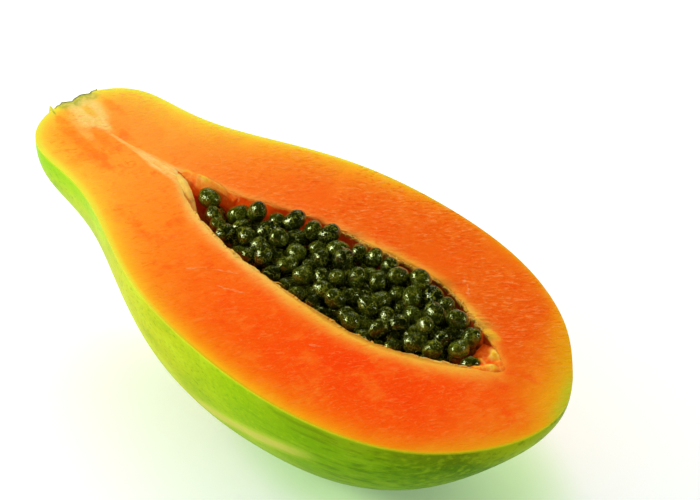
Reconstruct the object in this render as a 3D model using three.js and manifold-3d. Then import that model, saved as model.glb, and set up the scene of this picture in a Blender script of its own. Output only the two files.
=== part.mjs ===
// Half of a ripe papaya, cut lengthwise through the stem scar and the blossom tip. It lies on its skin
// with the cut face level and up, and a heap of seeds fills the cavity in its middle.
// Millimetres, +Z up, +X from the stem end to the blossom end. The origin is the middle of the small
// flat on the underside that the half rests on.
import * as THREE from 'three';
import { mergeVertices } from 'three/addons/utils/BufferGeometryUtils.js';
import Module from 'manifold-3d';

const wasm = await Module();
wasm.setup();

// The fruit. Places along it are measured from the stem scar, sides from the neck's middle plane and
// heights from the cut face. Half widths and depths are given at nine stations between the two ends,
// evenly spaced round a half circle drawn over the length, so they crowd towards the ends.
const FRUIT_START = -2.5; // the shoulders round the scar reach this far past it
const FRUIT_LENGTH = 184;
const FRUIT_HALF_WIDTHS = [14.4, 20.8, 24.9, 36.4, 44.0, 45.5, 41.2, 30.9, 15.0];
const FRUIT_DEPTHS = [14.8, 20.6, 28.0, 38.8, 46.0, 44.2, 36.8, 23.8, 10.0];
const NECK_FULLNESS = 0.035; // halfway down its sides the stem end is this much fuller than an ellipse
const NECK_SIDE = -0.9;
const BLOSSOM_LEAN = -5.6; // the blossom tip grew to this side of the neck
const BLUNT_END = 2.3; // the blossom end is blunter round a place beside its tip
const BLUNT_END_SIDE = 8.5;
const BLUNT_END_REACH = 12.5;
const BLUNT_END_FROM = 160;
const BLUNT_END_TO = 172;
const FRUIT_STEPS = 56;
const FRUIT_TURNS = 64;

// The resting flat: the skin gives a little under the weight.
const REST_PLACE = 97;
const REST_SIDE = -1.3;
const REST_HEIGHT = -45.6;

// The stem scar, a shallow dish between the shoulders.
const SCAR_RADIUS = 6.6;
const SCAR_DEPTH = 1.7;
const SCAR_SIDE = 1.4;

// The seed cavity. Its walls are given at nine stations in the same way, as distances from the straight
// line between its two tips.
const CAVITY_START = 41.5;
const CAVITY_LENGTH = 117.5;
const CAVITY_STEM_TIP_SIDE = 1.0;
const CAVITY_BLOSSOM_TIP_SIDE = 6.0;
const CAVITY_FAR_WALL = [0.9, 2.6, 6.2, 11.6, 13.3, 15.0, 12.0, 7.0, 2.9];
const CAVITY_NEAR_WALL = [2.1, 7.1, 12.0, 15.0, 16.1, 16.7, 13.6, 7.7, 2.9];
const CAVITY_FLOOR = [3.0, 8.0, 13.0, 17.5, 20.0, 20.5, 18.0, 12.0, 4.5];
const CAVITY_STEPS = 40;
const CAVITY_TURNS = 40;

// The seeds, egg-shaped, dropped one by one to where each comes to lie lowest. The heap is a little
// higher on the far side. Only its upper seeds show, standing out of a core that fills the rest.
const SEED_RADIUS_LOW = 2.4;
const SEED_RADIUS_HIGH = 3.0;
const SEED_SHAPE = [1.14, 0.98, 0.94];
const SEED_CLOSENESS = 0.92; // distance between two touching seeds, against the sum of their radii
const SEED_REACH = 0.6; // where along a seed the walls are taken, against its room
const SEED_TRIES = 400;
const SEED_ROUNDNESS = 1; // how often the faces of an icosahedron are split
const HEAP_TOP = 0.7; // no seed's middle lies higher, on the line y = HEAP_MIDDLE
const HEAP_SLOPE = 0.16;
const HEAP_MIDDLE = 3;
const HEAP_START = 53.5;
const HEAP_END = 150.5;
const HEAP_GAP = 0.35; // between the heap and the cavity wall
const SHOWN_LAYER = 5.0; // seeds that lie deeper under the top of the heap are hidden in the core
const CORE_TOP = -3.8;
const ROOT_DEPTH = 0.2; // a seed that reaches less far into the core keeps the seed that it lies on
const CORE_STEPS = 20;
const CORE_TURNS = 16;

// A smooth curve over shares from 0 to 1, which is 0 at both ends and passes through the stations.
function throughStations(stations, share) {
  const spans = stations.length + 1;
  let value = 0;
  for (let wave = 1; wave < spans; wave += 1) {
    const weights = stations.map((size, i) => size * Math.sin((wave * (i + 1) * Math.PI) / spans));
    const strength = (2 / spans) * weights.reduce((sum, weight) => sum + weight, 0);
    value += strength * Math.sin(wave * Math.PI * share);
  }
  return value;
}

// The part of the length that lies before a share of the half circle.
function lengthPart(share) {
  return (1 - Math.cos(Math.PI * share)) / 2;
}

function solidOf(geometry) {
  const bare = geometry.clone();
  bare.deleteAttribute('normal');
  bare.deleteAttribute('uv');
  const merged = mergeVertices(bare);
  return new wasm.Manifold(new wasm.Mesh({
    numProp: 3,
    vertProperties: new Float32Array(merged.attributes.position.array),
    triVerts: new Uint32Array(merged.index.array),
  }));
}

function meshOf(name, solid, color, roughness) {
  const { vertProperties, triVerts } = solid.getMesh();
  const geometry = new THREE.BufferGeometry();
  geometry.setAttribute('position', new THREE.BufferAttribute(vertProperties, 3));
  geometry.setIndex(new THREE.BufferAttribute(triVerts, 1));
  geometry.computeVertexNormals();
  const mesh = new THREE.Mesh(geometry, new THREE.MeshStandardMaterial({ color, roughness, metalness: 0 }));
  mesh.name = name;
  return mesh;
}

// A long closed form, made from a lathed drum of radius 1 and length 1. place(share, side, up) gives the
// point at a share of the length, in the direction side, up from the middle line.
function longForm(steps, turns, place) {
  const profile = [];
  for (let i = 0; i <= steps; i += 1) {
    profile.push(new THREE.Vector2(i === 0 || i === steps ? 0 : 1, i / steps));
  }
  const drum = new THREE.LatheGeometry(profile, turns);
  const points = drum.attributes.position;
  for (let i = 0; i < points.count; i += 1) {
    const point = place(points.getY(i), points.getZ(i), points.getX(i));
    points.setXYZ(i, point.x, point.y, point.z);
  }
  return solidOf(drum);
}

// Everything between two heights.
function slab(low, high) {
  const geometry = new THREE.BoxGeometry(3 * FRUIT_LENGTH, 2 * FRUIT_LENGTH, high - low);
  return solidOf(geometry.translate(FRUIT_LENGTH / 2, 0, (low + high) / 2));
}

function wholeFruit() {
  return longForm(FRUIT_STEPS, FRUIT_TURNS, (share, side, up) => {
    const part = lengthPart(share);
    const middle = NECK_SIDE + BLOSSOM_LEAN * part ** 4;
    const fullness = 1 + NECK_FULLNESS * (1 - part) * (2 * side * up) ** 2;
    const point = new THREE.Vector3(
      FRUIT_START + FRUIT_LENGTH * part,
      middle + fullness * side * throughStations(FRUIT_HALF_WIDTHS, share),
      fullness * up * throughStations(FRUIT_DEPTHS, share),
    );
    const beside = Math.hypot(point.y - BLUNT_END_SIDE, point.z) / BLUNT_END_REACH;
    const towardEnd = (point.x - BLUNT_END_FROM) / (BLUNT_END_TO - BLUNT_END_FROM);
    point.x += BLUNT_END * Math.exp(-(beside ** 2)) * THREE.MathUtils.clamp(towardEnd, 0, 1);
    return point;
  });
}

// The walls of the cavity at a place along the fruit.
function cavityAt(x) {
  const part = (x - CAVITY_START) / CAVITY_LENGTH;
  const share = Math.acos(1 - 2 * Math.min(Math.max(part, 0), 1)) / Math.PI;
  return {
    middle: CAVITY_STEM_TIP_SIDE + (CAVITY_BLOSSOM_TIP_SIDE - CAVITY_STEM_TIP_SIDE) * part,
    far: throughStations(CAVITY_FAR_WALL, share),
    near: throughStations(CAVITY_NEAR_WALL, share),
    floor: throughStations(CAVITY_FLOOR, share),
  };
}

// What fills the cavity up to a gap from its walls, and a tool to hollow the fruit when the gap is 0.
function cavityFilling(gap, start, end, steps, turns) {
  return longForm(steps, turns, (share, side, up) => {
    const x = start + (end - start) * lengthPart(share);
    const walls = cavityAt(x);
    const width = Math.max((side > 0 ? walls.far : walls.near) - gap, 0);
    return new THREE.Vector3(x, walls.middle + side * width, up * Math.max(walls.floor - gap, 0));
  });
}

function fruitHalf() {
  const cavity = cavityFilling(0, CAVITY_START, CAVITY_START + CAVITY_LENGTH, CAVITY_STEPS, CAVITY_TURNS);
  const dish = new THREE.SphereGeometry(1, 24, 16);
  dish.scale(SCAR_DEPTH, SCAR_RADIUS, SCAR_RADIUS);
  dish.translate(FRUIT_START, SCAR_SIDE, 0);
  return wholeFruit()
    .subtract(slab(0, FRUIT_LENGTH))
    .subtract(slab(-FRUIT_LENGTH, REST_HEIGHT))
    .subtract(cavity)
    .subtract(solidOf(dish));
}

// Where a seed at x, y comes to lie: the lowest height at which it clears the walls and the seeds placed
// before it, and the seed that it lies on.
function restingPlace(x, y, radius, placed) {
  const room = radius * SEED_SHAPE[0] + HEAP_GAP;
  const [tail, middle, head] = [cavityAt(x - room * SEED_REACH), cavityAt(x), cavityAt(x + room * SEED_REACH)];
  const side = y - middle.middle;
  const width = (side > 0 ? Math.min(tail.far, head.far) : Math.min(tail.near, head.near)) - room;
  const depth = Math.min(tail.floor, head.floor) - room;
  if (Math.abs(side) >= width || depth <= 0) return { z: Infinity };
  let z = -depth * Math.sqrt(1 - (side / width) ** 2);
  let under;
  placed.forEach((seed) => {
    const touch = (radius + seed.radius) * SEED_CLOSENESS;
    const rise = touch ** 2 - (x - seed.x) ** 2 - (y - seed.y) ** 2;
    if (rise > 0 && seed.z + Math.sqrt(rise) > z) {
      z = seed.z + Math.sqrt(rise);
      under = seed;
    }
  });
  return { z, under };
}

function heapTop(y) {
  return HEAP_TOP + HEAP_SLOPE * (y - HEAP_MIDDLE);
}

function layOutSeeds() {
  let drawn = 33;
  const chance = () => {
    drawn = (drawn * 1664525 + 1013904223) % 4294967296;
    return drawn / 4294967296;
  };
  const sideReach = Math.max(...CAVITY_NEAR_WALL, ...CAVITY_FAR_WALL) + CAVITY_BLOSSOM_TIP_SIDE;
  const placed = [];
  let full = false;
  while (!full) {
    const radius = SEED_RADIUS_LOW + (SEED_RADIUS_HIGH - SEED_RADIUS_LOW) * chance();
    let best = { buried: -Infinity };
    for (let i = 0; i < SEED_TRIES; i += 1) {
      const x = HEAP_START + (HEAP_END - HEAP_START) * chance();
      const y = sideReach * (2 * chance() - 1);
      const { z, under } = restingPlace(x, y, radius, placed);
      const buried = heapTop(y) - z;
      if (buried > best.buried) best = { x, y, z, radius, under, buried };
    }
    best.turn = [Math.PI * chance(), Math.PI * chance(), Math.PI * chance()];
    full = best.buried < 0;
    if (!full) placed.push(best);
  }
  return placed;
}

function seedHeap() {
  const core = cavityFilling(HEAP_GAP, HEAP_START, HEAP_END, CORE_STEPS, CORE_TURNS)
    .subtract(slab(CORE_TOP, FRUIT_LENGTH));
  const shown = new Set(layOutSeeds().filter((seed) => seed.buried < SHOWN_LAYER));
  shown.forEach((seed) => {
    if (seed.under && seed.z - seed.radius > CORE_TOP - ROOT_DEPTH) shown.add(seed.under);
  });
  return [...shown].reduce((heap, seed) => {
    const egg = new THREE.IcosahedronGeometry(seed.radius, SEED_ROUNDNESS);
    egg.scale(...SEED_SHAPE);
    egg.applyMatrix4(new THREE.Matrix4().makeRotationFromEuler(new THREE.Euler(...seed.turn)));
    return heap.add(solidOf(egg.translate(seed.x, seed.y, seed.z)));
  }, core);
}

const papayaHalf = new THREE.Group();
papayaHalf.add(meshOf('fruit_half', fruitHalf(), 0xf4621a, 0.45));
papayaHalf.add(meshOf('seeds', seedHeap(), 0x2c3316, 0.2));
papayaHalf.position.set(-REST_PLACE, -REST_SIDE, -REST_HEIGHT);

export default papayaHalf;
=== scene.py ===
import math

import bmesh
import bpy
from mathutils import Euler, Matrix, Vector, kdtree, noise


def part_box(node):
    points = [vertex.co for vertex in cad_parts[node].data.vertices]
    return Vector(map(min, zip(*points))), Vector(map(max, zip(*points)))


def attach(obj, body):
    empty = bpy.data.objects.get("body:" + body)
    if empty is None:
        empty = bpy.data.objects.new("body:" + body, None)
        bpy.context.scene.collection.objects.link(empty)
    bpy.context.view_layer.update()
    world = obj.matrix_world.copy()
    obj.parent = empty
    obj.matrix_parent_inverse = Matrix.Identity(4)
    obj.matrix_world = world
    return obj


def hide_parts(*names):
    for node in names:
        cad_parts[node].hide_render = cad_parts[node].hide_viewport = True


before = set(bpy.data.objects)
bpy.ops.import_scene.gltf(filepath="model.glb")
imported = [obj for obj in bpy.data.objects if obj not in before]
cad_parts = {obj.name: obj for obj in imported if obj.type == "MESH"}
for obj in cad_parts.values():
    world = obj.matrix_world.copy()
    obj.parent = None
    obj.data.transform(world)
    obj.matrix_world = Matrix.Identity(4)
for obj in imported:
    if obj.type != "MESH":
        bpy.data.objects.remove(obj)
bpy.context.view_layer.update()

# ---- The half fruit ------------------------------------------------------------------------------
# Half of a ripe papaya, cut lengthwise with a knife: waxy skin round soft orange flesh and a long seed
# cavity. It grew in one piece, so all of it is one closed mesh. It is modelled in millimetres: x from
# the stem scar to the blossom tip, y to the far side, z up from the cut face.
MM = 0.001
CUT_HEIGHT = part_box("fruit_half")[1].z / MM
REST_PLACE = 97.0
REST_SIDE = -1.3
FRUIT_TO_FRAME = Matrix.Scale(MM, 4) @ Matrix.Translation((-REST_PLACE, -REST_SIDE, CUT_HEIGHT))

FRUIT_START = -2.5
FRUIT_LENGTH = 184.0
FRUIT_HALF_WIDTHS = [14.4, 20.8, 24.9, 36.4, 44.0, 45.5, 41.2, 30.9, 15.0]
FRUIT_DEPTHS = [14.8, 20.6, 28.0, 38.8, 46.0, 44.2, 36.8, 23.8, 10.0]
NECK_FULLNESS = 0.035
NECK_SIDE = -0.9
BLOSSOM_LEAN = -5.6
SCAR_RADIUS = 6.8
SCAR_SIDE = 2.0
SCAR_HOLLOW = 0.7
HOLLOW_FADE = 2.0
SCAR_EDGE = [
    (-5.2, -1.8), (-3.8, -2.4), (-1.6, -2.5), (0.6, -1.3), (2.4, -1.8), (4.2, -2.1), (5.2, -1.5),
    (6.4, -0.7), (7.6, -1.2), (8.8, -0.9),
]

CAVITY_START = 41.5
CAVITY_LENGTH = 117.5
CAVITY_TIP_SIDES = (1.0, 6.0)
CAVITY_FAR_WALL = [0.9, 2.6, 6.2, 11.6, 13.3, 15.0, 12.0, 7.0, 2.9]
CAVITY_NEAR_WALL = [2.1, 7.1, 12.0, 15.0, 16.1, 16.7, 13.6, 7.7, 2.9]
CAVITY_FLOOR = [3.0, 8.0, 13.0, 17.5, 20.0, 20.5, 18.0, 12.0, 4.5]

LENGTH_STEPS = 200
SKIN_TURNS = 84
WALL_TURNS = 48
FLESH_RINGS = 52
POLE_MERGE = 0.004
OUTLINE_POINTS = 2400
BRIDGE_DROP = 20.0
SKIN_SWELL = 0.5
SWELL_SIZE = 26.0
RIB_COUNT = 5
RIB_HEIGHT = 0.45
BLUNT_END = 2.3
BLUNT_END_SIDE = 8.5
BLUNT_END_REACH = 12.5
BLUNT_END_FROM = 160.0
BLUNT_END_TO = 172.0
RIM_TEAR = 0.55
RIM_TEAR_SIZE = 3.4
RIM_FRAY = 0.22
RIM_FRAY_SIZE = 1.1
RIM_REACH = 2.2
RIM_TEAR_FADE = 4.0
RIM_DROP = 0.35
RIM_DROP_REACH = 0.5
CUT_WAVE = 0.16
CUT_WAVE_SIZE = 13.0
CUT_GRAIN = 0.05
CUT_GRAIN_SIZE = 2.2
CUT_FADE_TO_SKIN = 3.0
CUT_FADE_TO_RIM = 1.5
WALL_LUMPS = 0.5
WALL_LUMP_SIZE = 4.0
WALL_LUMP_FADE = 3.0
SKIN, FLESH, WALL = 0, 1, 2


def curve_through(stations):
    """A smooth curve over shares from 0 to 1 that is 0 at both ends and passes through the stations."""
    spans = len(stations) + 1
    waves = [
        2 / spans * sum(size * math.sin(wave * (k + 1) * math.pi / spans) for k, size in enumerate(stations))
        for wave in range(1, spans)
    ]
    return lambda share: sum(wave * math.sin((k + 1) * math.pi * share) for k, wave in enumerate(waves))


half_width_at = curve_through(FRUIT_HALF_WIDTHS)
depth_at = curve_through(FRUIT_DEPTHS)
far_wall_at = curve_through(CAVITY_FAR_WALL)
near_wall_at = curve_through(CAVITY_NEAR_WALL)
floor_at = curve_through(CAVITY_FLOOR)


def between(limits, part):
    return limits[0] + (limits[1] - limits[0]) * part


def length_part(share):
    return (1 - math.cos(math.pi * share)) / 2


def scar_edge_at(side):
    """How far along the fruit the scar's broken edge lies at a place across the cut."""
    for (near, start), (far, end) in zip(SCAR_EDGE, SCAR_EDGE[1:]):
        if side <= far:
            return start + (end - start) * max(side - near, 0) / (far - near)
    return SCAR_EDGE[-1][1]


def scar_floor(across, up):
    """How far along the fruit the floor of the scar lies, from the scar's middle across and up."""
    reach = math.hypot(across, up)
    toward_far = (1 + across / reach) / 2 if reach else 0.5
    far, near = scar_edge_at(SCAR_SIDE + reach), scar_edge_at(SCAR_SIDE - reach)
    hollow = SCAR_HOLLOW * (1 - (reach / SCAR_RADIUS) ** 2) * min(-up / HOLLOW_FADE, 1)
    return between((near, far), toward_far) + hollow


def skin_point(share, side, up):
    """The skin at a share of the length, in the direction side, up from the middle line."""
    part = length_part(share)
    x = FRUIT_START + FRUIT_LENGTH * part
    middle = NECK_SIDE + BLOSSOM_LEAN * part ** 4
    fullness = 1 + NECK_FULLNESS * (1 - part) * (2 * side * up) ** 2
    across, down = side * fullness * half_width_at(share), up * fullness * depth_at(share)
    point = Vector((x, middle + across, down))
    rib = RIB_HEIGHT * math.cos(RIB_COUNT * math.atan2(-up, side))
    swell = SKIN_SWELL * noise.noise(point / SWELL_SIZE)
    point += Vector((0, side, up)) * (rib + swell) * -up * math.sin(math.pi * share)
    point.z = max(point.z, -CUT_HEIGHT)
    beside_blunt = Vector((point.y - BLUNT_END_SIDE, point.z)).length / BLUNT_END_REACH
    toward_end = min(max((x - BLUNT_END_FROM) / (BLUNT_END_TO - BLUNT_END_FROM), 0), 1)
    point.x += BLUNT_END * math.exp(-beside_blunt ** 2) * toward_end
    if part < 0.5 and math.hypot(point.y - SCAR_SIDE, point.z) < SCAR_RADIUS:
        point.x = max(point.x, scar_floor(point.y - SCAR_SIDE, point.z))
    return point


def cavity_middle(x):
    return between(CAVITY_TIP_SIDES, (x - CAVITY_START) / CAVITY_LENGTH)


def wall_point(share, side, up):
    """The cavity wall in the same way; its two sides and its floor are curves of their own."""
    x = CAVITY_START + CAVITY_LENGTH * length_part(share)
    width = far_wall_at(share) if side > 0 else near_wall_at(share)
    return Vector((x, cavity_middle(x) + side * width, up * floor_at(share)))


def spun_shell(mesh, turns, place, finish):
    """Spins a straight line half round below the cut, then bends it into shape."""
    first = len(mesh.verts)
    line = [mesh.verts.new((k / LENGTH_STEPS, 1, 0)) for k in range(LENGTH_STEPS + 1)]
    runs = [mesh.edges.new(pair) for pair in zip(line, line[1:])]
    bmesh.ops.spin(
        mesh, geom=line + runs, axis=(1, 0, 0), cent=(0, 0, 0), angle=-math.pi, steps=turns
    )
    mesh.verts.ensure_lookup_table()
    for vert in mesh.verts[first:]:
        vert.co = place(*vert.co)
        for face in vert.link_faces:
            face.material_index = finish


def outline_tree(place):
    """A search tree over the outline of a shell on the cut face."""
    tree = kdtree.KDTree(2 * (OUTLINE_POINTS + 1))
    for k in range(OUTLINE_POINTS + 1):
        for side in (-1, 1):
            tree.insert(place(k / OUTLINE_POINTS, side, 0), 0)
    tree.balance()
    return tree


def fruit_mesh():
    mesh = bmesh.new()
    spun_shell(mesh, SKIN_TURNS, skin_point, SKIN)
    spun_shell(mesh, WALL_TURNS, wall_point, WALL)
    bmesh.ops.remove_doubles(mesh, verts=mesh.verts, dist=POLE_MERGE)
    walls = {vert for vert in mesh.verts if vert.link_faces[0].material_index == WALL}
    # The bridge pairs two rims the same way round only where one lies above the other.
    bmesh.ops.translate(mesh, verts=list(walls), vec=(0, 0, -BRIDGE_DROP))
    bridge = bmesh.ops.bridge_loops(mesh, edges=[edge for edge in mesh.edges if edge.is_boundary])
    bmesh.ops.translate(mesh, verts=list(walls), vec=(0, 0, BRIDGE_DROP))
    for face in bridge["faces"]:
        face.material_index = FLESH
    rungs = [edge for edge in mesh.edges if (edge.verts[0] in walls) != (edge.verts[1] in walls)]
    bmesh.ops.subdivide_edges(mesh, edges=rungs, cuts=FLESH_RINGS, use_grid_fill=True)
    from_skin = mesh.verts.layers.float.new("from_skin")
    from_cavity = mesh.verts.layers.float.new("from_cavity")
    skin_outline, cavity_outline = outline_tree(skin_point), outline_tree(wall_point)
    for vert in mesh.verts:
        vert[from_skin] = skin_outline.find(vert.co)[2]
        vert[from_cavity] = cavity_outline.find(vert.co)[2]
        finishes = {face.material_index for face in vert.link_faces}
        if finishes != {SKIN}:
            roughen(vert, finishes, vert[from_skin], vert[from_cavity])
    for edge in mesh.edges:
        edge.smooth = len({face.material_index for face in edge.link_faces}) == 1
    return mesh


def roughen(vert, finishes, from_skin, from_cavity):
    """Tears the cavity's rim, and gives the cut face its waves and the wall its lumps."""
    spot = vert.co.copy()
    outward = 1 if spot.y > cavity_middle(spot.x) else -1
    tear = RIM_TEAR * noise.noise(spot / RIM_TEAR_SIZE) + RIM_FRAY * noise.noise(spot / RIM_FRAY_SIZE)
    vert.co.y += outward * tear * math.exp(-from_cavity / RIM_REACH) * min(from_skin / RIM_TEAR_FADE, 1)
    if FLESH in finishes:
        vert.co.z -= RIM_DROP * math.exp(-from_cavity / RIM_DROP_REACH)
    if finishes == {FLESH}:
        wave = CUT_WAVE * noise.noise(spot / CUT_WAVE_SIZE) + CUT_GRAIN * noise.noise(spot / CUT_GRAIN_SIZE)
        vert.co.z += wave * min(from_skin / CUT_FADE_TO_SKIN, 1) * min(from_cavity / CUT_FADE_TO_RIM, 1)
    if finishes == {WALL}:
        lump = WALL_LUMPS * noise.noise(spot / WALL_LUMP_SIZE) * min(from_cavity / WALL_LUMP_FADE, 1)
        vert.co += Vector((0, outward, -1)) * lump


class Wire:
    """A socket in a material. Arithmetic on it adds Math nodes, and node() adds any other node."""

    def __init__(self, tree, socket=None):
        self.tree = tree
        self.socket = socket

    def node(self, kind, settings=None, sockets=None, output=0):
        made = self.tree.nodes.new(kind)
        for name, setting in (settings or {}).items():
            if name == "stops":
                ramp = made.color_ramp.elements
                while len(ramp) < len(setting):
                    ramp.new(0.5)
                for element, (position, colour) in zip(ramp, setting):
                    element.position, element.color = position, colour
            else:
                setattr(made, name, setting)
        for name, value in (sockets or {}).items():
            if isinstance(value, Wire):
                self.tree.links.new(value.socket, made.inputs[name])
            else:
                made.inputs[name].default_value = value
        return Wire(self.tree, made.outputs[output] if made.outputs else None)

    def math(self, operation, first, second):
        return self.node("ShaderNodeMath", {"operation": operation}, {0: first, 1: second})

    def __add__(self, other):
        return self.math("ADD", self, other)

    def __sub__(self, other):
        return self.math("SUBTRACT", self, other)

    def __rsub__(self, other):
        return self.math("SUBTRACT", other, self)

    def __mul__(self, other):
        return self.math("MULTIPLY", self, other)

    def __truediv__(self, other):
        return self.math("DIVIDE", self, other)

    __radd__ = __add__
    __rmul__ = __mul__

    def decay(self, reach):
        """1 at the start, a third of that at reach, and so on outwards."""
        return self.math("EXPONENT", self * -1.0 / reach, 0.0)

    def follow(self, stops):
        """A value that runs through stops, each a number of millimetres and the value there."""
        top = max(value for _, value in stops)
        greys = [(where / FRUIT_LENGTH, (value / top,) * 3 + (1.0,)) for where, value in stops]
        return self.node("ShaderNodeValToRGB", {"stops": greys}, {0: self / FRUIT_LENGTH}) * top

    def fade(self, start, end):
        """0 where the value is at start, 1 where it is at end, and smooth between them."""
        return self.node(
            "ShaderNodeMapRange", {"interpolation_type": "SMOOTHSTEP"},
            {"Value": self, "From Min": start, "From Max": end}
        )


def paint(red, green, blue):
    """A colour given as it looks on a screen, from 0 to 255, in linear light."""
    screen = [value / 255 for value in (red, green, blue)]
    return tuple(v / 12.92 if v <= 0.04045 else ((v + 0.055) / 1.055) ** 2.4 for v in screen) + (1.0,)


ROOM_LIGHT = 1.27


def seen(red, green, blue):
    """A colour given as it looks where all the light of the room falls on it."""
    return tuple(value / ROOM_LIGHT for value in paint(red, green, blue)[:3]) + (1.0,)


def mixed(mask, under, over):
    return mask.node("ShaderNodeMix", {"data_type": "RGBA"}, {0: mask, 6: under, 7: over}, output=2)


def fruit_place(graph):
    """Object coordinates as the fruit's own millimetres: the vector, and its x, y and z."""
    place = graph.node("ShaderNodeTexCoord", output=3)
    vector = graph.node(
        "ShaderNodeVectorMath", {"operation": "MULTIPLY_ADD"},
        {0: place, 1: (1 / MM, 1 / MM, 1 / MM), 2: (REST_PLACE, REST_SIDE, -CUT_HEIGHT)}
    )
    return vector, [graph.node("ShaderNodeSeparateXYZ", sockets={0: vector}, output=k) for k in range(3)]


def cloud(vector, size, detail=2.0, roughness=0.5, stretch=(1, 1, 1), turn=0.0, distortion=0.0):
    """Noise round 0.5 with features of about that size in millimetres, stretched along turned axes."""
    turned = vector.node(
        "ShaderNodeMapping", {"vector_type": "TEXTURE"},
        {"Vector": vector, "Rotation": (0, 0, turn), "Scale": stretch}
    )
    return vector.node(
        "ShaderNodeTexNoise", {},
        {"Vector": turned, "Scale": 1 / size, "Detail": detail, "Roughness": roughness,
         "Distortion": distortion}
    )


def finished(name, build):
    """A material whose surface has the sockets that build() gives it, on an empty node tree."""
    material = bpy.data.materials.new(name)
    material.use_nodes = True
    material.node_tree.nodes.clear()
    graph = Wire(material.node_tree)
    surface = graph.node("ShaderNodeBsdfPrincipled", sockets=build(graph))
    graph.node("ShaderNodeOutputMaterial", sockets={"Surface": surface})
    return material


def attribute(graph, name):
    return graph.node("ShaderNodeAttribute", {"attribute_name": name}, output=2)


def along_fruit(x, tints, shade):
    """A colour that runs through tints, each a share of the fruit's length and a colour on a screen."""
    stops = [(where, shade(*tint)) for where, tint in tints]
    return x.node("ShaderNodeValToRGB", {"stops": stops}, {0: x / FRUIT_LENGTH})


def layered(colour, layers):
    """Lays tints over a colour in turn, each through its own mask."""
    for mask, tint in layers:
        colour = mixed(mask, colour, tint)
    return colour


def relief(height, strength, depth):
    return height.node("ShaderNodeBump", {}, {"Strength": strength, "Distance": depth, "Height": height})


FLESH_SCATTER = (1.0, 0.3, 0.05)
FIBRE_TURN = math.radians(45)
COMB_TURN = math.radians(-25)
STRAND_TURN = math.radians(4)
PATCH_TURN = math.radians(-20)
LINE_MIDDLE = [(15.0, -1.5), (23.5, -1.35), (29.0, -1.1), (35.0, -1.1), (43.0, -0.4)]
LINE_HALF = [(15.0, 0.45), (23.5, 0.55), (29.0, 1.1), (35.0, 2.0), (43.0, 2.3)]
LINE_LIFT = 2.0
LINE_SHARE = [(18, 0.5), (28, 0.75), (36, 0.95)]
PITH = [
    (2.8, 2.6, 3.8, 3.4), (7.6, 1.6, 4.2, 2.6), (8.2, -2.6, 3.6, 2.4), (12.4, -0.4, 3.6, 1.5),
    (2.2, -0.8, 2.4, 2.0),
]
PITH_YOLK = [(4.2, 1.2, 2.0, 1.1), (6.8, 0.8, 2.0, 1.1)]
PITH_GLOW = [(5.6, -4.2, 3.2, 1.7), (9.4, -5.5, 3.4, 1.5), (13.2, -6.7, 2.6, 1.2)]
FAR_RIDGE = [(147.0, 14.2, 3.4, 1.3), (44.2, 2.7, 1.8, 0.9)]
DEEP_PATCHES = [
    (3.4, -7.4, 2.6, 1.7), (9.0, -9.6, 3.4, 1.7), (16.0, -10.0, 4.0, 1.9), (23.5, -10.6, 4.2, 2.0),
    (18.5, -5.0, 4.4, 1.4), (7.6, 7.4, 4.2, 1.8),
]
RED_PATCHES = [(160.5, 6.9, 2.4, 1.5), (163.4, 1.4, 3.0, 1.5), (166.0, 9.0, 3.0, 1.2)]
SCRATCHES = [
    ((73.5, -26.6), (79.5, -20.0)), ((79.0, -21.2), (86.0, -16.6)), ((84.6, -25.0), (92.2, -21.4)),
    ((118.0, -24.0), (121.6, -21.6)), ((125.5, 26.0), (128.5, 23.4)), ((128.0, 24.6), (132.5, 21.0)),
]
SCRATCH_HALF_WIDTH = 0.45
BAND_TINTS = [(0.05, (246, 222, 62)), (0.30, (250, 210, 44)), (0.55, (250, 200, 24)), (0.95, (240, 184, 14))]
FLESH_NEAR = [
    (0.06, (250, 142, 36)), (0.16, (252, 154, 46)), (0.30, (253, 134, 30)), (0.43, (252, 108, 16)),
    (0.57, (251, 86, 4)), (0.70, (252, 68, 2)), (0.82, (252, 74, 2)), (0.90, (250, 92, 8)),
    (0.95, (246, 118, 18)),
]
FLESH_FAR = [
    (0.06, (250, 148, 52)), (0.16, (251, 149, 50)), (0.30, (251, 117, 28)), (0.43, (246, 104, 20)),
    (0.57, (242, 98, 12)), (0.70, (242, 100, 12)), (0.82, (241, 93, 9)), (0.90, (241, 92, 9)),
    (0.95, (240, 128, 18)),
]
NEAR_BAND_REACH = [(10, 5.2), (60, 3.9), (85, 3.1), (108, 3.2), (130, 4.4), (150, 4.0), (165, 2.4)]
NEAR_BAND_SHARE = [(110, 1.0), (130, 0.86), (150, 0.74), (163, 0.42), (176, 0.50)]
FAR_BAND_REACH = [(10, 5.4), (80, 3.5), (103, 1.8), (150, 1.4), (163, 7.0), (176, 9.0)]
FAR_BAND_SHARE = [(82, 1.0), (103, 0.42), (135, 0.42), (152, 0.66), (165, 0.60), (176, 0.8)]
EDGE_REACH = [(40, 2.4), (70, 1.4), (110, 1.0)]
NEAR_GLOW_REACH = [(48, 1.6), (60, 2.4), (80, 2.2), (104, 3.9), (135, 3.6), (155, 4.2)]
FAR_GLOW_REACH = [(60, 1.6), (105, 2.7), (128, 1.8), (138, 2.3), (147, 3.0), (152, 1.4)]
FAR_GLOW_SHARE = [(60, 0.30), (82, 0.12), (104, 0.75), (128, 0.50), (138, 0.85), (146, 0.85), (153, 0.3)]
NEAR_LINE_REACH = [(84, 0.2), (104, 1.4), (130, 1.9), (148, 2.1), (154, 0.2)]
FAR_LINE_REACH = [(60, 0.2), (92, 0.3), (105, 1.6), (128, 0.9), (142, 0.2)]
RIPPLE_SHARE = [(146, 1.0), (168, 0.35)]
COMB_SHARE = [(12, 0.56), (45, 0.36)]


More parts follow.
